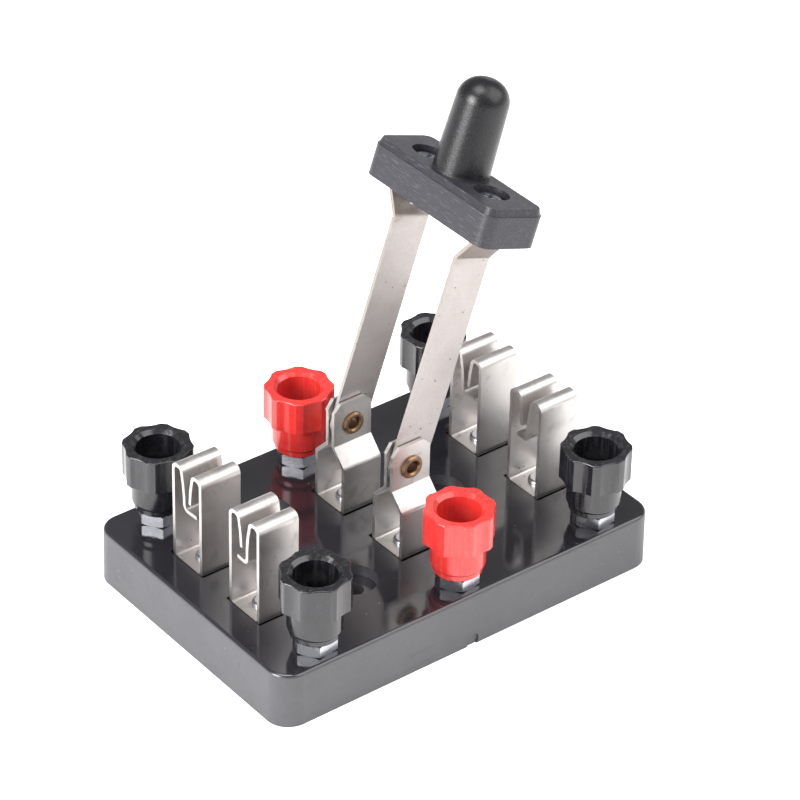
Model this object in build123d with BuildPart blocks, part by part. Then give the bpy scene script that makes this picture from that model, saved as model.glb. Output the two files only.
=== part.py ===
from build123d import *
import os
from math import atan2, cos, degrees, radians, sin

# Two-pole, two-way knife switch on a moulded base. Millimetres, +X along the base's long side,
# +Y along its short side, +Z up. The origin is the middle of the base's underside, on the table.

# base moulding
BASE_L = 95.0
BASE_W = 64.8
BASE_H = 12.4
BASE_CORNER = 5.0
BASE_EDGE = 0.8
BASE_WALL = 1.8
BASE_PLATE = 3.2
DRAFT = 0.8
RIB = 1.6
RIB_FOOT = 3.0
POCKET_X = 10.3
POCKET_Y = 11.3
POCKET_DEEP = 1.0

# where things stand on it
POST_X = 35.3
POST_Y = 26.4
ROW_Y = 9.6
CLIP_X = 35.3
SCREW_HOLES = [(-16.6, -14.1), (-16.6, 14.1), (16.6, 0.0)]
SCREW_HOLE_R = 2.2
SCREW_SINK_R = 5.0
SCREW_SINK = 2.5
SCREW_BOSS_R = 6.4

# bent strip of the jaws and brackets
STRIP = 0.8
HALF = STRIP / 2
CLIP_LONG = 9.5
CLIP_WALL = 4.55
CLIP_TOP = 22.2
BRACKET_LONG = 9.4
BRACKET_WALL = 4.4
BRACKET_TOP = 24.2
EAR = 0.95
EAR_CORNER = 1.7
RIVET_HOLE_R = 1.6

# swinging frame
PIVOT_H = 18.8
LEAN = 19.0
BLADE_W = 9.0
BLADE_T = 0.8
BLADE_BEND = 45.4
BLADE_STEP = 3.7
TAB = 50.75
TAB_IN = 4.2
PIVOT_HOLE_R = 1.95
EYELET_R = 1.9
EYELET_BORE_R = 1.35
EYELET_HEAD_R = 2.5

# handle moulding, heights counted from the pivot
BAR_LOW = 51.2
BAR_LIP = 57.8
BAR_TOP = 59.2
BAR_L = 36.8
BAR_W = 15.0
BAR_CORNER = 2.6
KNOB_R = 5.85
KNOB_TAPER = 1.8
KNOB_TOP = 78.9
KNOB_DOME = 4.7
SINK_R = 3.7
SINK = 3.0
M3_R = 1.5
M3_HOLE_R = 1.6
M3_HEAD_R = 2.9
M3_HEAD = 2.1
M3_LONG = 8.0

# binding posts, heights counted from the top of the base
NUT_AF = 8.0
NUT_H = 2.9
NUT_TURN = 5.0
BUSH_R = 5.1
BUSH_TOP = 4.4
CAP_LOW = 4.6
LOBES_LOW = 10.5
CAP_TOP = 17.9
COLLAR_R = 5.6
LOBE_R = 7.3
FLUTE_R = 8.0
FLUTE_FLOOR_R = 6.75
LOBE_COUNT = 8
CAP_BORE_R = 4.5
CAP_BORE_FLOOR = 10.2
CAP_BORE_LIP = 0.8
INSERT_R = 3.6
INSERT_TOP = 9.4
STUD_R = 2.45
THREAD_R = 2.5
STUD_TOP = 10.0
STUD_FOOT = 2.6
STUD_HOLE_R = 2.6

# under the base, downwards from the ceiling of the hollow
LINK_T = 0.8
LINK_W = 8.0
SPRING_WASHER_R = 3.9
SPRING_WASHER_T = 1.0
LOCK_NUT_H = 3.2
FOOT_HEAD_R = 2.4
FOOT_HEAD = 0.9
FOOT_R = 1.5
FOOT_TAIL_R = 2.1
FOOT_TAIL = 0.8

CEILING = BASE_H - BASE_PLATE
POCKET_FLOOR = BASE_H - POCKET_DEEP
PIVOT_Z = BASE_H + PIVOT_H
FEET_X = [-CLIP_X, 0.0, CLIP_X]
COLUMNS = {"left": -POST_X, "mid": 0.0, "right": POST_X}
ROWS = {"near": -1, "far": 1}

# the frame's own axes: UPRIGHT has x across a blade's width, y along the base's y and z up the blade
LEAN_X = Vector(cos(radians(LEAN)), 0, -sin(radians(LEAN)))
LEAN_Z = Vector(sin(radians(LEAN)), 0, cos(radians(LEAN)))
UPRIGHT = Plane(origin=(0, 0, PIVOT_Z), x_dir=LEAN_X, z_dir=LEAN_Z)
EDGE_ON = Plane(origin=(0, 0, PIVOT_Z), x_dir=(0, 1, 0), z_dir=LEAN_X)


def save(part, name):
    part.label = name
    export_step(part, f"parts/{name}.step")


def make_base():
    with BuildPart() as base:
        with BuildSketch():
            RectangleRounded(BASE_L, BASE_W, BASE_CORNER)
        extrude(amount=BASE_H, taper=DRAFT)
        fillet(base.edges().group_by(Axis.Z)[-1], BASE_EDGE)

        # hollow below, with the bosses and ribs that stiffen the top
        with BuildSketch():
            RectangleRounded(BASE_L - 2 * BASE_WALL, BASE_W - 2 * BASE_WALL, BASE_CORNER - BASE_WALL)
        extrude(amount=CEILING, mode=Mode.SUBTRACT)
        with BuildSketch():
            with Locations(*SCREW_HOLES):
                Circle(SCREW_BOSS_R)
        extrude(amount=CEILING + 0.5)
        with BuildSketch(Plane.XY.offset(RIB_FOOT)):
            Rectangle(BASE_L - BASE_WALL, RIB)
            with Locations((-17.65, 0), (17.65, 0)):
                Rectangle(RIB, BASE_W - BASE_WALL)
        extrude(amount=CEILING - RIB_FOOT + 0.5)

        # seats of the bent strips, their rivet holes and the stud holes
        with BuildSketch(Plane.XY.offset(POCKET_FLOOR)):
            with Locations(*[(x, side * ROW_Y) for x in FEET_X for side in (-1, 1)]):
                RectangleRounded(POCKET_X, POCKET_Y, 0.4)
        extrude(amount=POCKET_DEEP, mode=Mode.SUBTRACT)
        with Locations(*[(x, side * ROW_Y, BASE_H) for x in FEET_X for side in (-1, 1)]):
            Hole(RIVET_HOLE_R, depth=BASE_PLATE + 0.5)
        with Locations(*[(x, side * POST_Y, BASE_H) for x in COLUMNS.values() for side in (-1, 1)]):
            Hole(STUD_HOLE_R, depth=BASE_PLATE + 0.5)
        with Locations(*[(x, y, BASE_H) for x, y in SCREW_HOLES]):
            CounterBoreHole(SCREW_HOLE_R, SCREW_SINK_R, SCREW_SINK)

        # witness mark of the moulding gate on the near side
        with BuildSketch(Plane.XZ.offset(BASE_W / 2 - 0.35)):
            with Locations((-0.5, 1.2)):
                Circle(1.6)
        extrude(amount=1.0, mode=Mode.SUBTRACT)
    save(base.part, "base")


def strip_end_plane(x, side):
    # local x along the base's y, local y upwards from the table
    return Plane((x, side * ROW_Y, 0), x_dir=(0, 1, 0), z_dir=(1, 0, 0))


def strip_foot_hole(x, side):
    with Locations((x, side * ROW_Y, POCKET_FLOOR + STRIP)):
        Hole(RIVET_HOLE_R, depth=STRIP + 1)


def make_clip(name, x, side, hook_floor, hook_reach, hook_turn):
    # one strip: foot, two walls, a roll over the top of each, and two legs that pinch the blade.
    # The outer leg ends in a hook under the plain tip of the inner one.
    foot = POCKET_FLOOR + HALF - BASE_H
    with BuildPart() as clip:
        with BuildSketch(strip_end_plane(x - CLIP_LONG / 2, side)):
            with BuildLine():
                FilletPolyline(
                    (side * -0.95, BASE_H + 15.0),
                    (side * -1.25, BASE_H + 18.5),
                    (side * -1.95, BASE_H + CLIP_TOP),
                    (side * -CLIP_WALL, BASE_H + CLIP_TOP),
                    (side * -CLIP_WALL, BASE_H + foot),
                    (side * CLIP_WALL, BASE_H + foot),
                    (side * CLIP_WALL, BASE_H + CLIP_TOP),
                    (side * 1.95, BASE_H + CLIP_TOP),
                    (side * 1.25, BASE_H + 18.5),
                    (side * 0.95, BASE_H + 15.5),
                    (side * 0.9, BASE_H + hook_floor),
                    (side * -hook_reach, BASE_H + hook_floor + 0.2),
                    radius=(6.0, 1.15, 1.25, 1.0, 1.0, 1.25, 1.15, 6.0, 6.0, hook_turn),
                )
            trace(line_width=STRIP)
        extrude(amount=CLIP_LONG)
        strip_foot_hole(x, side)
    save(clip.part, name)


def make_bracket(name, side):
    # one strip: foot, two walls that lean in to a pair of ears with the blade between them
    foot = POCKET_FLOOR + HALF - BASE_H
    across = Plane((0, side * ROW_Y, 0), x_dir=(1, 0, 0), z_dir=(0, -1, 0))
    with BuildPart() as bracket:
        with BuildSketch(strip_end_plane(-BRACKET_LONG / 2, side)):
            with BuildLine():
                FilletPolyline(
                    (-EAR, BASE_H + BRACKET_TOP),
                    (-EAR, BASE_H + 14.3),
                    (-BRACKET_WALL, BASE_H + 10.7),
                    (-BRACKET_WALL, BASE_H + foot),
                    (BRACKET_WALL, BASE_H + foot),
                    (BRACKET_WALL, BASE_H + 10.7),
                    (EAR, BASE_H + 14.3),
                    (EAR, BASE_H + 21.6),
                    (EAR + 0.55, BASE_H + BRACKET_TOP),
                    radius=(0.7, 0.7, 1.0, 1.0, 0.7, 0.7, 3.0),
                )
            trace(line_width=STRIP)
        extrude(amount=BRACKET_LONG)

        # cut the top corners of both ears
        half = BRACKET_LONG / 2
        with BuildSketch(across):
            for end in (-1, 1):
                with BuildLine():
                    Polyline(
                        (end * (half - EAR_CORNER), BASE_H + BRACKET_TOP + 1),
                        (end * (half - EAR_CORNER), BASE_H + BRACKET_TOP),
                        (end * half, BASE_H + BRACKET_TOP - EAR_CORNER),
                        (end * (half + 1), BASE_H + BRACKET_TOP - EAR_CORNER),
                        (end * (half + 1), BASE_H + BRACKET_TOP + 1),
                        close=True,
                    )
                make_face()
        extrude(amount=5, both=True, mode=Mode.SUBTRACT)

        with BuildSketch(across):
            with Locations((0, PIVOT_Z)):
                Circle(PIVOT_HOLE_R)
        extrude(amount=5, both=True, mode=Mode.SUBTRACT)
        strip_foot_hole(0, side)
    save(bracket.part, name)


def make_pivot_rivet(name, side):
    # brass eyelet: a hollow shank through both ears and the blade, rolled over at each end
    reach = EAR + HALF + 0.05
    axis_y = side * ROW_Y
    with BuildPart() as rivet:
        with BuildSketch(Plane((0, axis_y, PIVOT_Z))):
            with BuildLine():
                Polyline(
                    (EYELET_BORE_R, -reach - 0.3),
                    (EYELET_BORE_R, reach + 0.3),
                    (EYELET_BORE_R + 0.35, reach + 0.7),
                    (EYELET_HEAD_R - 0.3, reach + 0.7),
                    (EYELET_HEAD_R, reach + 0.35),
                    (EYELET_HEAD_R, reach),
                    (EYELET_R, reach),
                    (EYELET_R, -reach),
                    (EYELET_HEAD_R, -reach),
                    (EYELET_HEAD_R, -reach - 0.35),
                    (EYELET_HEAD_R - 0.3, -reach - 0.7),
                    (EYELET_BORE_R + 0.35, -reach - 0.7),
                    close=True,
                )
            make_face()
        revolve(axis=Axis((0, axis_y, PIVOT_Z), (0, 1, 0)))
    save(rivet.part, name)


def make_blade(name, side):
    # flat bar, stepped outwards near its top and folded back over itself as a tab for the handle
    with BuildPart() as blade:
        with BuildSketch(EDGE_ON.offset(-BLADE_W / 2)):
            with BuildLine():
                FilletPolyline(
                    (side * ROW_Y, -BLADE_W / 2),
                    (side * ROW_Y, BLADE_BEND),
                    (side * (ROW_Y + BLADE_STEP), TAB),
                    (side * (ROW_Y - TAB_IN), TAB),
                    radius=(1.4, 0.7),
                )
            trace(line_width=BLADE_T)
        extrude(amount=BLADE_W)
        foot_corners = blade.edges().filter_by(Axis.Y).sort_by(Axis(UPRIGHT.origin, LEAN_Z))[:2]
        fillet(foot_corners, BLADE_W / 2 - 0.1)
        with BuildSketch(Plane((0, side * ROW_Y, PIVOT_Z), z_dir=(0, 1, 0))):
            Circle(PIVOT_HOLE_R)
        extrude(amount=2, both=True, mode=Mode.SUBTRACT)
        with BuildSketch(UPRIGHT.offset(TAB)):
            with Locations((0, side * ROW_Y)):
                Circle(M3_HOLE_R)
        extrude(amount=2, both=True, mode=Mode.SUBTRACT)
    save(blade.part, name)


def make_handle():
    with BuildPart() as handle:
        with BuildSketch(UPRIGHT.offset(BAR_LOW)):
            RectangleRounded(BAR_W, BAR_L, BAR_CORNER)
        extrude(amount=BAR_LIP - BAR_LOW)
        with BuildSketch(UPRIGHT.offset(BAR_LIP)):
            RectangleRounded(BAR_W - 0.4, BAR_L - 0.4, BAR_CORNER - 0.2)
        extrude(amount=BAR_TOP - BAR_LIP, taper=degrees(atan2(0.5, BAR_TOP - BAR_LIP)))

        # round grip with a domed end
        with BuildSketch(UPRIGHT.offset(BAR_TOP - 0.5)):
            Circle(KNOB_R)
        extrude(amount=KNOB_TOP - BAR_TOP + 0.5, taper=KNOB_TAPER)
        tip = handle.faces().sort_by(Axis(UPRIGHT.origin, LEAN_Z))[-1]
        fillet(tip.edges(), KNOB_DOME)

        with BuildSketch(UPRIGHT.offset(BAR_TOP)):
            with Locations((0, -ROW_Y), (0, ROW_Y)):
                Circle(SINK_R)
        extrude(amount=-SINK, mode=Mode.SUBTRACT)
        with BuildSketch(UPRIGHT.offset(BAR_TOP)):
            with Locations((0, -ROW_Y), (0, ROW_Y)):
                Circle(M3_HOLE_R)
        extrude(amount=-BAR_TOP, mode=Mode.SUBTRACT)
    save(handle.part, "handle")


def make_handle_screws():
    seat = BAR_TOP - SINK
    with BuildPart() as screws:
        with BuildSketch(UPRIGHT.offset(seat - M3_LONG)):
            with Locations((0, -ROW_Y), (0, ROW_Y)):
                Circle(M3_R)
        extrude(amount=M3_LONG)
        with BuildSketch(UPRIGHT.offset(seat)):
            with Locations((0, -ROW_Y), (0, ROW_Y)):
                Circle(M3_HEAD_R)
        extrude(amount=M3_HEAD)
        tops = screws.faces().sort_by(Axis(UPRIGHT.origin, LEAN_Z))[-2:]
        fillet(tops.edges(), 0.9)

        # cross recess
        with BuildSketch(UPRIGHT.offset(seat + M3_HEAD)):
            with Locations((0, -ROW_Y), (0, ROW_Y)):
                Rectangle(3.2, 0.75, rotation=35)
                Rectangle(0.75, 3.2, rotation=35)
        extrude(amount=-1.3, taper=8, mode=Mode.SUBTRACT)
    save(screws.part, "handle_screws")


def post_plane(x, side, height):
    return Plane((x, side * POST_Y, BASE_H + height))


def make_cap(name, x, side, turn):
    with BuildPart() as cap:
        with BuildSketch(post_plane(x, side, LOBES_LOW)):
            Circle(LOBE_R)
            with PolarLocations(FLUTE_FLOOR_R + FLUTE_R, LOBE_COUNT, start_angle=turn):
                Circle(FLUTE_R, mode=Mode.SUBTRACT)
        extrude(amount=CAP_TOP - LOBES_LOW)
        fillet(cap.edges().filter_by(Axis.Z), 0.5)
        fillet(cap.edges().group_by(Axis.Z)[-1], 0.25)

        with BuildSketch(post_plane(x, side, CAP_LOW)):
            Circle(COLLAR_R)
        extrude(amount=LOBES_LOW - CAP_LOW)
        fillet(cap.edges().group_by(Axis.Z)[0], 0.6)

        # lead bore, its rounded mouth, the seat of the metal insert and the stud's way in
        with BuildSketch(post_plane(x, side, CAP_BORE_FLOOR)):
            Circle(CAP_BORE_R)
        extrude(amount=CAP_TOP - CAP_BORE_FLOOR, mode=Mode.SUBTRACT)
        mouth = cap.edges().filter_by(GeomType.CIRCLE).group_by(Axis.Z)[-1]
        chamfer(mouth.filter_by(lambda e: abs(e.radius - CAP_BORE_R) < 0.01), CAP_BORE_LIP)
        with BuildSketch(post_plane(x, side, CAP_LOW)):
            Circle(INSERT_R + 0.05)
        extrude(amount=INSERT_TOP + 0.1 - CAP_LOW, mode=Mode.SUBTRACT)
        with BuildSketch(post_plane(x, side, CAP_LOW)):
            Circle(THREAD_R + 0.2)
        extrude(amount=CAP_BORE_FLOOR - CAP_LOW, mode=Mode.SUBTRACT)
    save(cap.part, name)


def make_ring(name, places, low, high, outer, inner, edge=0.0):
    with BuildPart() as ring:
        with BuildSketch(Plane.XY.offset(low)):
            with Locations(*places):
                Circle(outer)
                Circle(inner, mode=Mode.SUBTRACT)
        extrude(amount=high - low)
        if edge:
            rims = ring.edges().group_by(Axis.Z)[0].filter_by(GeomType.CIRCLE)
            chamfer(rims.filter_by(lambda e: abs(e.radius - outer) < 0.01), edge)
    save(ring.part, name)


def make_nuts(name, places, low, height, turn):
    # plain hexagons whose corners are turned off by a cone on both faces
    corner_r = NUT_AF / 2 / cos(radians(30))
    with BuildPart() as cones:
        for x, y in places:
            with BuildSketch(Plane((x, y, low), x_dir=(1, 0, 0), z_dir=(0, -1, 0))):
                with BuildLine():
                    Polyline(
                        (0, 0),
                        (NUT_AF / 2, 0),
                        (corner_r + 0.3, 0.5),
                        (corner_r + 0.3, height - 0.5),
                        (NUT_AF / 2, height),
                        (0, height),
                        close=True,
                    )
                make_face()
            revolve(axis=Axis((x, y, low), (0, 0, 1)))
    with BuildPart() as nuts:
        with BuildSketch(Plane.XY.offset(low)):
            with Locations(*places):
                RegularPolygon(corner_r, 6, rotation=turn)
        extrude(amount=height)
        add(cones.part, mode=Mode.INTERSECT)
        with Locations(*[(x, y, low + height) for x, y in places]):
            Hole(THREAD_R, depth=height)
    save(nuts.part, name)


def make_studs(places):
    with BuildPart() as studs:
        with BuildSketch(Plane.XY.offset(STUD_FOOT)):
            with Locations(*places):
                Circle(STUD_R)
        extrude(amount=BASE_H + STUD_TOP - STUD_FOOT)
        chamfer(studs.edges().group_by(Axis.Z)[-1], 0.4)
        chamfer(studs.edges().group_by(Axis.Z)[0], 0.4)
    save(studs.part, "post_studs")


def make_foot_rivets(places):
    top = POCKET_FLOOR + STRIP
    bottom = CEILING - LINK_T
    with BuildPart() as rivets:
        with BuildSketch(Plane.XY.offset(top)):
            with Locations(*places):
                Circle(FOOT_HEAD_R)
        extrude(amount=FOOT_HEAD)
        fillet(rivets.edges().group_by(Axis.Z)[-1], 0.6)
        with BuildSketch(Plane.XY.offset(bottom)):
            with Locations(*places):
                Circle(FOOT_R)
        extrude(amount=top - bottom)
        with BuildSketch(Plane.XY.offset(bottom)):
            with Locations(*places):
                Circle(FOOT_TAIL_R)
        extrude(amount=-FOOT_TAIL)
    save(rivets.part, "foot_rivets")


def make_links():
    # six strips under the base, each joining a post's stud to the foot beside it
    inner = ROW_Y - LINK_W / 2
    outer = POST_Y + LINK_W / 2
    with BuildPart() as links:
        with BuildSketch(Plane.XY.offset(CEILING - LINK_T)):
            for x in FEET_X:
                for side in (-1, 1):
                    with Locations((x, side * (inner + outer) / 2)):
                        Rectangle(LINK_W, outer - inner)
                    with Locations((x, side * POST_Y)):
                        Circle(STUD_HOLE_R, mode=Mode.SUBTRACT)
                    with Locations((x, side * ROW_Y)):
                        Circle(RIVET_HOLE_R, mode=Mode.SUBTRACT)
        extrude(amount=LINK_T)
    save(links.part, "link_strips")


os.makedirs("parts", exist_ok=True)

posts = [(x, side * POST_Y) for x in COLUMNS.values() for side in ROWS.values()]
feet = [(x, side * ROW_Y) for x in FEET_X for side in (-1, 1)]

make_base()
for row, side in ROWS.items():
    hook = (12.9, 3.3, 1.2) if row == "far" else (12.1, 2.2, 1.1)
    make_clip(f"jaw_clip_left_{row}", -CLIP_X, side, *hook)
    make_clip(f"jaw_clip_right_{row}", CLIP_X, side, *hook)
    make_bracket(f"hinge_bracket_{row}", side)
    make_pivot_rivet(f"pivot_rivet_{row}", side)
    make_blade(f"blade_{row}", side)
make_handle()
make_handle_screws()

cap_turns = {
    "left_near": 13.0,
    "mid_near": 0.0,
    "right_near": 28.0,
    "left_far": 22.5,
    "mid_far": 31.5,
    "right_far": 5.0,
}
for column, x in COLUMNS.items():
    for row, side in ROWS.items():
        place = [(x, side * POST_Y)]
        spot = f"{column}_{row}"
        make_cap(f"post_cap_{spot}", x, side, cap_turns[spot])
        make_ring(f"cap_insert_{spot}", place, BASE_H + CAP_LOW, BASE_H + INSERT_TOP, INSERT_R, THREAD_R)
        make_ring(f"post_bush_{spot}", place, BASE_H + NUT_H, BASE_H + BUSH_TOP, BUSH_R, THREAD_R, 0.5)

make_nuts("post_nuts", posts, BASE_H, NUT_H, NUT_TURN)
make_studs(posts)
make_links()
make_ring(
    "spring_washers",
    posts,
    CEILING - LINK_T - SPRING_WASHER_T,
    CEILING - LINK_T,
    SPRING_WASHER_R,
    STUD_HOLE_R,
)
make_nuts("lock_nuts", posts, CEILING - LINK_T - SPRING_WASHER_T - LOCK_NUT_H, LOCK_NUT_H, 0.0)
make_foot_rivets(feet)
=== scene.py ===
import math

import bpy
from mathutils import Matrix, Vector

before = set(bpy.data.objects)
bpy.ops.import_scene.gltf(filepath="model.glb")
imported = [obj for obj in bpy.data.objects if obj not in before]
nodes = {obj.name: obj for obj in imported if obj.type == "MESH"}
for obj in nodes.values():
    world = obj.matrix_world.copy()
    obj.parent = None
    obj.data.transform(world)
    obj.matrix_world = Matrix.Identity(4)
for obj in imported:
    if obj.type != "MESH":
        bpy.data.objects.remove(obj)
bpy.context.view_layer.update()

MM_PER_M = 1000
MIX_FACTOR, MIX_A, MIX_B, MIX_RESULT = 0, 6, 7, 2

# The handle leans 19 degrees at rest. Its bar ends, and its grip starts, this far up the lean, in mm.
LEAN_COS, LEAN_SIN = 0.9455, 0.3256
BAR_END, GRIP_START = 88.6, 89.6

# Heights in mm: the blades' tarnish builds up over the first pair, the strip's specks fade over the second.
TARNISH_FROM, TARNISH_FULL = 72.0, 76.5
SPECKS_FULL, SPECKS_END = 13.0, 17.0


# ---------------------------------------------------------------- node helpers
class Look:
    """One node material, worked in millimetres of the CAD frame through the Object coordinate."""

    def __init__(self, name):
        self.mat = bpy.data.materials.new(name)
        self.mat.use_nodes = True
        self.tree = self.mat.node_tree
        self.bsdf = self.tree.nodes["Principled BSDF"]
        coord = self.tree.nodes.new("ShaderNodeTexCoord")
        scale = self.tree.nodes.new("ShaderNodeMapping")
        scale.inputs["Scale"].default_value = (MM_PER_M, MM_PER_M, MM_PER_M)
        self.link(coord.outputs["Object"], scale.inputs["Vector"])
        self.mm = scale.outputs["Vector"]

    def link(self, a, b):
        self.tree.links.new(a, b)

    def put(self, socket, value):
        """Sets a socket from a number, a colour or another node's output."""
        if isinstance(value, bpy.types.NodeSocket):
            self.link(value, socket)
        elif isinstance(value, tuple) and socket.type == "RGBA":
            socket.default_value = (*value[:3], 1)
        else:
            socket.default_value = value

    def fixed(self, **values):
        """Sets constant shader values directly on their sockets."""
        for name, value in values.items():
            self.bsdf.inputs[name.replace("_", " ")].default_value = value

    def stretched(self, x, y, z):
        """The coordinate scaled by axis, so that a pattern runs long where the number is small."""
        n = self.tree.nodes.new("ShaderNodeMapping")
        n.inputs["Scale"].default_value = (x, y, z)
        self.link(self.mm, n.inputs["Vector"])
        return n.outputs["Vector"]

    def noise(self, scale, detail=3, rough=0.5, where=None, warp=0.0):
        n = self.tree.nodes.new("ShaderNodeTexNoise")
        self.link(where or self.mm, n.inputs["Vector"])
        n.inputs["Scale"].default_value = scale
        n.inputs["Detail"].default_value = detail
        n.inputs["Roughness"].default_value = rough
        n.inputs["Distortion"].default_value = warp
        return n.outputs["Fac"]

    def cells(self, scale):
        n = self.tree.nodes.new("ShaderNodeTexVoronoi")
        self.link(self.mm, n.inputs["Vector"])
        n.inputs["Scale"].default_value = scale
        return n.outputs["Distance"]

    def math(self, kind, a, b):
        n = self.tree.nodes.new("ShaderNodeMath")
        n.operation = kind
        self.put(n.inputs[0], a)
        self.put(n.inputs[1], b)
        return n.outputs[0]

    def step(self, value, low, high, out_low=0.0, out_high=1.0):
        """Runs smoothly from out_low to out_high as value goes from low to high."""
        n = self.tree.nodes.new("ShaderNodeMapRange")
        n.interpolation_type = "SMOOTHSTEP"
        self.put(n.inputs["Value"], value)
        for name, v in zip(("From Min", "From Max", "To Min", "To Max"), (low, high, out_low, out_high)):
            n.inputs[name].default_value = v
        return n.outputs["Result"]

    def mix(self, fac, a, b):
        n = self.tree.nodes.new("ShaderNodeMix")
        n.data_type = "RGBA"
        self.put(n.inputs[MIX_FACTOR], fac)
        self.put(n.inputs[MIX_A], a)
        self.put(n.inputs[MIX_B], b)
        return n.outputs[MIX_RESULT]

    def axis(self, letter):
        n = self.tree.nodes.new("ShaderNodeSeparateXYZ")
        self.link(self.mm, n.inputs[0])
        return n.outputs[letter]

    def facing(self, letter):
        """The surface normal's share along one axis of the object."""
        coord = self.tree.nodes.new("ShaderNodeTexCoord")
        n = self.tree.nodes.new("ShaderNodeSeparateXYZ")
        self.link(coord.outputs["Normal"], n.inputs[0])
        return n.outputs[letter]

    def bump(self, height, strength, distance_mm):
        """Adds a bump on top of those already there."""
        n = self.tree.nodes.new("ShaderNodeBump")
        n.inputs["Strength"].default_value = strength
        n.inputs["Distance"].default_value = distance_mm / MM_PER_M
        self.put(n.inputs["Height"], height)
        if self.bsdf.inputs["Normal"].is_linked:
            self.link(self.bsdf.inputs["Normal"].links[0].from_socket, n.inputs["Normal"])
        self.link(n.outputs["Normal"], self.bsdf.inputs["Normal"])

    def finish(self, colour, rough):
        self.put(self.bsdf.inputs["Base Color"], colour)
        self.put(self.bsdf.inputs["Roughness"], rough)
        return self.mat


# ---------------------------------------------------------------- plastics
def base_moulding():
    """Polished black top with dust and hair scratches, and duller sides whose greyer colour is painted
    sheen.
    """
    k = Look("base_moulding")
    k.fixed(IOR=1.66)
    side = k.step(k.facing("Z"), 0.25, 0.9, 1.0, 0.0)
    cloud = k.noise(0.12, 4)
    dust = k.step(k.cells(0.42), 0.035, 0.06, 1.0, 0.0)
    dust = k.math("MULTIPLY", dust, k.step(k.noise(0.09, 2), 0.48, 0.6))
    hair = k.step(k.noise(1.0, 2, where=k.stretched(0.05, 2.2, 1.0), warp=0.4), 0.66, 0.7)
    top = k.mix(cloud, (0.013, 0.013, 0.016), (0.022, 0.021, 0.026))
    # Painted sheen: the sides, picked by which way they face, get a greyer colour than the top; the same
    # mask makes them duller.
    side_sheen_grey = k.mix(k.noise(0.7, 5), (0.036, 0.036, 0.042), (0.056, 0.056, 0.064))
    colour = k.mix(side, top, side_sheen_grey)
    colour = k.mix(k.math("MULTIPLY", dust, 0.5), colour, (0.5, 0.5, 0.52))
    rough = k.step(cloud, 0.3, 0.7, 0.07, 0.13)
    rough = k.math("ADD", rough, k.math("MULTIPLY", hair, 0.12))
    rough = k.math("ADD", rough, k.math("MULTIPLY", side, 0.34))
    k.bump(k.noise(0.16, 2), 0.25, 0.06)
    k.bump(k.noise(6.0, 2), 0.05, 0.02)
    return k.finish(colour, rough)


def handle_moulding():
    """Black moulding: the bar worn grey with scratches and pits, the grip darker and smoother."""
    k = Look("handle_moulding")
    k.fixed(IOR=1.48)
    fine = k.noise(3.2, 5, 0.65)
    broad = k.noise(0.22, 4)
    along = k.noise(3.4, 3, where=k.stretched(1.0, 0.12, 1.6), warp=0.3)
    up = k.math("MULTIPLY", k.axis("Z"), LEAN_COS)
    across = k.math("MULTIPLY", k.axis("X"), LEAN_SIN)
    grip = k.step(k.math("ADD", up, across), BAR_END, GRIP_START)
    worn = k.math("SUBTRACT", 1.0, k.math("MULTIPLY", grip, 0.85))
    scratch = k.math("MULTIPLY", k.step(along, 0.56, 0.66), worn)
    pits = k.math("MULTIPLY", k.step(k.cells(0.7), 0.04, 0.09, 1.0, 0.0), worn)
    colour = k.mix(fine, (0.006, 0.006, 0.009), (0.04, 0.04, 0.05))
    colour = k.mix(k.math("MULTIPLY", broad, 0.5), colour, (0.03, 0.03, 0.038))
    colour = k.mix(k.math("MULTIPLY", grip, 0.9), colour, (0.003, 0.003, 0.004))
    colour = k.mix(k.math("MULTIPLY", scratch, 0.32), colour, (0.13, 0.13, 0.15))
    colour = k.mix(k.math("MULTIPLY", pits, 0.25), colour, (0.2, 0.19, 0.19))
    rough = k.math("SUBTRACT", k.step(fine, 0.3, 0.75, 0.34, 0.5), k.math("MULTIPLY", grip, 0.1))
    k.bump(fine, 0.35, 0.06)
    k.bump(scratch, 0.3, 0.05)
    k.bump(k.math("MULTIPLY", pits, -1.0), 0.5, 0.12)
    return k.finish(colour, rough)


def cap_plastic(name, dark, light, ior, glow=0.0):
    """Glossy injection-moulded plastic with drag lines up the flutes, whose lighter streaks are painted
    highlight, and light scuffs.
    """
    k = Look(name)
    k.fixed(IOR=ior)
    if glow:
        k.fixed(Subsurface_Weight=glow, Subsurface_Radius=(0.004, 0.0012, 0.001), Subsurface_Scale=0.6)
    drag_and_highlight_lines = k.noise(0.9, 2, where=k.stretched(1.2, 1.2, 0.1), warp=0.2)
    cloud = k.noise(0.35, 4)
    scuff = k.step(k.noise(2.6, 4, 0.7), 0.6, 0.74)
    colour = k.mix(cloud, dark, light)
    # Painted highlight: the drag lines' lighter streaks stand in for bright bands up the flutes; their bump
    # and roughness are the drag lines.
    streak_highlight = tuple(0.2 + 0.7 * c for c in light)
    scuffed = tuple(0.35 + 0.6 * c for c in light)
    colour = k.mix(k.math("MULTIPLY", k.step(drag_and_highlight_lines, 0.5, 0.66), 0.06), colour, streak_highlight)
    colour = k.mix(k.math("MULTIPLY", scuff, 0.18), colour, scuffed)
    rough = k.math("ADD", k.step(drag_and_highlight_lines, 0.3, 0.7, 0.12, 0.27), k.math("MULTIPLY", scuff, 0.12))
    k.bump(drag_and_highlight_lines, 0.3, 0.1)
    k.bump(k.noise(5.0, 2), 0.06, 0.03)
    return k.finish(colour, rough)


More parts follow.
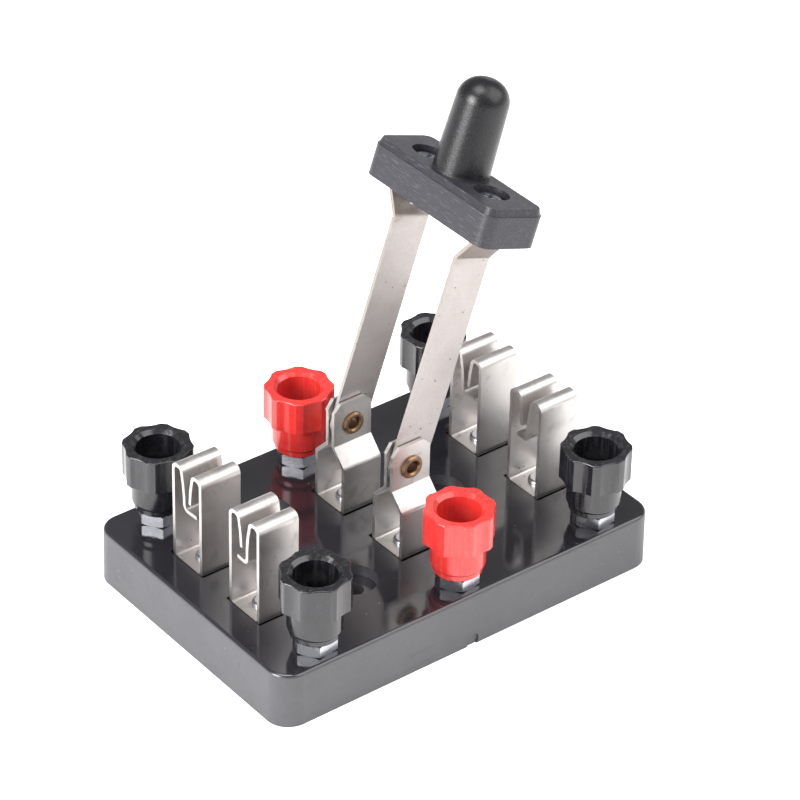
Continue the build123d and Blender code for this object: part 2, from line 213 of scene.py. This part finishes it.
# ---------------------------------------------------------------- metals
def plated_strip():
    """Satin nickel on bent strip: rolling lines, brownish patches, and dark specks near the feet."""
    k = Look("plated_strip")
    k.fixed(Metallic=1.0)
    roll = k.noise(2.2, 3, where=k.stretched(0.08, 1.4, 1.4))
    cloud = k.noise(0.3, 5, 0.6, warp=0.6)
    low = k.step(k.axis("Z"), SPECKS_FULL, SPECKS_END, 1.0, 0.0)
    speck = k.step(k.cells(0.9), 0.1, 0.2, 1.0, 0.0)
    speck = k.math("MULTIPLY", speck, k.step(k.noise(0.5, 2), 0.46, 0.58))
    speck = k.math("MULTIPLY", speck, low)
    colour = k.mix(cloud, (0.54, 0.515, 0.5), (0.68, 0.655, 0.64))
    colour = k.mix(k.math("MULTIPLY", k.step(cloud, 0.56, 0.7), 0.35), colour, (0.28, 0.24, 0.21))
    colour = k.mix(k.math("MULTIPLY", speck, 0.8), colour, (0.1, 0.08, 0.07))
    rough = k.math("ADD", k.step(cloud, 0.35, 0.7, 0.37, 0.49), k.math("MULTIPLY", speck, 0.4))
    k.bump(roll, 0.14, 0.05)
    k.bump(k.noise(4.5, 3), 0.1, 0.05)
    k.bump(k.noise(0.25, 2), 0.25, 0.12)
    return k.finish(colour, rough)


def blade_metal():
    """Dull nickel on flat bar, tarnished near the handle, with rust pin-pricks."""
    k = Look("blade_metal")
    k.fixed(Metallic=1.0)
    grain = k.noise(1.8, 4, 0.6)
    cloud = k.noise(0.14, 4, warp=0.8)
    high = k.step(k.axis("Z"), TARNISH_FROM, TARNISH_FULL)
    pricks = k.step(k.cells(0.5), 0.07, 0.13, 1.0, 0.0)
    pricks = k.math("MULTIPLY", pricks, k.step(k.noise(0.3, 2), 0.44, 0.54))
    rust = k.math("MULTIPLY", k.step(k.noise(0.55, 4, 0.7, warp=1.0), 0.6, 0.7), high)
    colour = k.mix(cloud, (0.37, 0.34, 0.33), (0.47, 0.44, 0.43))
    colour = k.mix(k.math("MULTIPLY", grain, 0.25), colour, (0.3, 0.26, 0.24))
    colour = k.mix(k.math("MULTIPLY", high, 0.45), colour, (0.36, 0.29, 0.24))
    colour = k.mix(k.math("MULTIPLY", rust, 0.6), colour, (0.28, 0.15, 0.08))
    colour = k.mix(k.math("MULTIPLY", pricks, 0.75), colour, (0.16, 0.1, 0.07))
    rough = k.math("ADD", k.step(grain, 0.3, 0.7, 0.32, 0.44), k.math("MULTIPLY", high, 0.12))
    k.bump(grain, 0.12, 0.05)
    k.bump(k.math("MULTIPLY", pricks, -1.0), 0.4, 0.08)
    k.bump(k.noise(0.1, 2), 0.3, 0.25)
    return k.finish(colour, rough)


def zinc_steel():
    """Zinc plate: bluish and slightly cloudy, with darker handling marks."""
    k = Look("zinc_steel")
    k.fixed(Metallic=1.0)
    cloud = k.noise(0.18, 2, 0.5)
    fine = k.noise(2.0, 3)
    colour = k.mix(cloud, (0.44, 0.45, 0.49), (0.58, 0.59, 0.64))
    colour = k.mix(k.math("MULTIPLY", k.step(fine, 0.5, 0.75), 0.2), colour, (0.36, 0.37, 0.4))
    rough = k.step(cloud, 0.3, 0.7, 0.2, 0.34)
    k.bump(fine, 0.06, 0.03)
    return k.finish(colour, rough)


def threaded_zinc():
    """Zinc plate with thread lines as bands up the stud: painted shade in the grooves and painted highlight
    on the crests, over a bump for the relief.
    """
    k = Look("threaded_zinc")
    k.fixed(Metallic=1.0)
    turn = k.tree.nodes.new("ShaderNodeTexWave")
    turn.wave_type = "BANDS"
    turn.bands_direction = "Z"
    turn.inputs["Scale"].default_value = 0.4
    k.link(k.mm, turn.inputs["Vector"])
    cloud = k.noise(0.6, 3)
    # Painted shade and highlight: the dark bands stand in for shade in the thread grooves, the bright ones
    # for light on the crests.
    colour = k.mix(turn.outputs["Fac"], (0.3, 0.31, 0.33), (0.74, 0.76, 0.8))
    k.bump(turn.outputs["Fac"], 0.8, 0.4)
    return k.finish(colour, k.step(cloud, 0.3, 0.7, 0.24, 0.36))


def brass(name, dark, light, low, high):
    """Brass in cloudy light and dark patches, with small darker spots."""
    k = Look(name)
    k.fixed(Metallic=1.0)
    cloud = k.noise(0.9, 4, 0.6)
    fine = k.noise(5.0, 3)
    colour = k.mix(cloud, dark, light)
    spots = tuple(0.4 * c for c in dark)
    colour = k.mix(k.math("MULTIPLY", k.step(fine, 0.58, 0.72), 0.4), colour, spots)
    k.bump(fine, 0.15, 0.04)
    return k.finish(colour, k.step(cloud, 0.3, 0.7, low, high))


# ---------------------------------------------------------------- which node gets which material
red = cap_plastic("red_cap", (0.52, 0.022, 0.02), (0.68, 0.042, 0.036), 1.6, 0.12)
black = cap_plastic("black_cap", (0.002, 0.002, 0.003), (0.014, 0.014, 0.018), 1.64)
zinc = zinc_steel()
strip = plated_strip()
# A node takes the longest of these names that its own name starts with.
looks = {
    "base": base_moulding(),
    "handle": handle_moulding(),
    "handle_screws": zinc,
    "blade_": blade_metal(),
    "jaw_clip_": strip,
    "hinge_bracket_": strip,
    "pivot_rivet_": brass("eyelet_brass", (0.17, 0.1, 0.06), (0.38, 0.245, 0.15), 0.32, 0.46),
    "post_cap_": black,
    "post_cap_mid_": red,
    "post_bush_": black,
    "post_bush_mid_": red,
    "cap_insert_": brass("insert_brass", (0.5, 0.35, 0.16), (0.76, 0.58, 0.3), 0.25, 0.4),
    "post_nuts": zinc,
    "post_studs": threaded_zinc(),
    "lock_nuts": zinc,
    "spring_washers": zinc,
    "link_strips": brass("link_brass", (0.6, 0.44, 0.2), (0.8, 0.64, 0.34), 0.28, 0.42),
    "foot_rivets": zinc,
}


def look_for(node):
    best = max((key for key in looks if node.startswith(key)), key=len)
    return looks[best]


for name, obj in nodes.items():
    for slot in obj.material_slots:
        slot.material = look_for(name)


# ---------------------------------------------------------------- floor and light
LAMP_WHITE = (1.0, 0.99, 0.98)
LAMP_AIM = Vector((0, 0, 0.03))
# Greys of the surroundings by the height of the direction, from level to straight up. The middle is
# dark because the polished base mirrors it.
SKY_GREYS = [(0.0, 0.85), (0.1, 0.55), (0.3, 0.34), (0.7, 0.3), (1.0, 0.8)]


def pale_floor():
    """A plain pale sheet that reaches past the view on every side."""
    half = 4.0
    corners = [(-half, -half, 0), (half, -half, 0), (half, half, 0), (-half, half, 0)]
    mesh = bpy.data.meshes.new("floor")
    mesh.from_pydata(corners, [], [(0, 1, 2, 3)])
    obj = bpy.data.objects.new("floor", mesh)
    bpy.context.scene.collection.objects.link(obj)
    k = Look("pale_paper")
    k.fixed(Emission_Strength=0.5, Emission_Color=(1.0, 0.995, 0.99, 1.0), Specular_IOR_Level=0.0)
    colour = k.mix(k.noise(0.004, 3), (0.88, 0.88, 0.88), (0.91, 0.91, 0.91))
    mesh.materials.append(k.finish(colour, 0.9))


def soft_box(name, toward, distance, width, height, power):
    """A rectangular light at that direction from the object, turned to face it."""
    light = bpy.data.lights.new(name, "AREA")
    light.shape = "RECTANGLE"
    light.size = width
    light.size_y = height
    light.energy = power
    light.color = LAMP_WHITE
    obj = bpy.data.objects.new(name, light)
    direction = Vector(toward).normalized()
    obj.location = LAMP_AIM + direction * distance
    obj.rotation_euler = direction.to_track_quat("Z", "Y").to_euler()
    bpy.context.scene.collection.objects.link(obj)


def studio():
    """Grey surroundings that brighten towards level and overhead, with three soft boxes."""
    world = bpy.data.worlds.new("studio")
    bpy.context.scene.world = world
    world.use_nodes = True
    tree = world.node_tree
    back = tree.nodes["Background"]
    coord = tree.nodes.new("ShaderNodeTexCoord")
    split = tree.nodes.new("ShaderNodeSeparateXYZ")
    ramp = tree.nodes.new("ShaderNodeValToRGB")
    tree.links.new(coord.outputs["Generated"], split.inputs[0])
    tree.links.new(split.outputs["Z"], ramp.inputs["Fac"])
    while len(ramp.color_ramp.elements) < len(SKY_GREYS):
        ramp.color_ramp.elements.new(0.5)
    for element, (place, grey) in zip(ramp.color_ramp.elements, SKY_GREYS):
        element.position = place
        element.color = (grey, grey, grey * 1.02, 1)
    tree.links.new(ramp.outputs["Color"], back.inputs["Color"])
    back.inputs["Strength"].default_value = 1.0
    soft_box("front_right", (0.55, -0.55, 0.75), 0.9, 1.0, 0.8, 7.0)
    soft_box("front_left", (-1.0, 0.02, 0.5), 1.0, 0.5, 0.5, 15.0)
    soft_box("overhead", (-0.15, 0.05, 1.0), 0.9, 0.5, 0.5, 4.5)


pale_floor()
studio()


# ---------------------------------------------------------------- camera
AZIMUTH, ELEVATION, ROLL = (math.radians(a) for a in (-128.75, 34.149, 1.419))
AIM = Vector((0.02391, 0.02293, 0.019))
DISTANCE = 0.76653
LENS_MM = 164.2


def camera():
    """A long lens in front of the left corner, aimed a little behind the middle, slightly rolled."""
    back = Vector(
        (
            math.cos(ELEVATION) * math.cos(AZIMUTH),
            math.cos(ELEVATION) * math.sin(AZIMUTH),
            math.sin(ELEVATION),
        )
    )
    right = (-back).cross(Vector((0, 0, 1))).normalized()
    up = right.cross(-back)
    turned_right = right * math.cos(ROLL) + up * math.sin(ROLL)
    turned_up = up * math.cos(ROLL) - right * math.sin(ROLL)
    data = bpy.data.cameras.new("camera")
    data.sensor_width = 36
    data.lens = LENS_MM
    data.clip_start = 0.05
    data.clip_end = 20
    obj = bpy.data.objects.new("camera", data)
    turn = Matrix((turned_right, turned_up, back)).transposed().to_4x4()
    obj.matrix_world = Matrix.Translation(AIM + back * DISTANCE) @ turn
    bpy.context.scene.collection.objects.link(obj)
    bpy.context.scene.camera = obj


camera()
bpy.context.scene.view_settings.view_transform = "Standard"
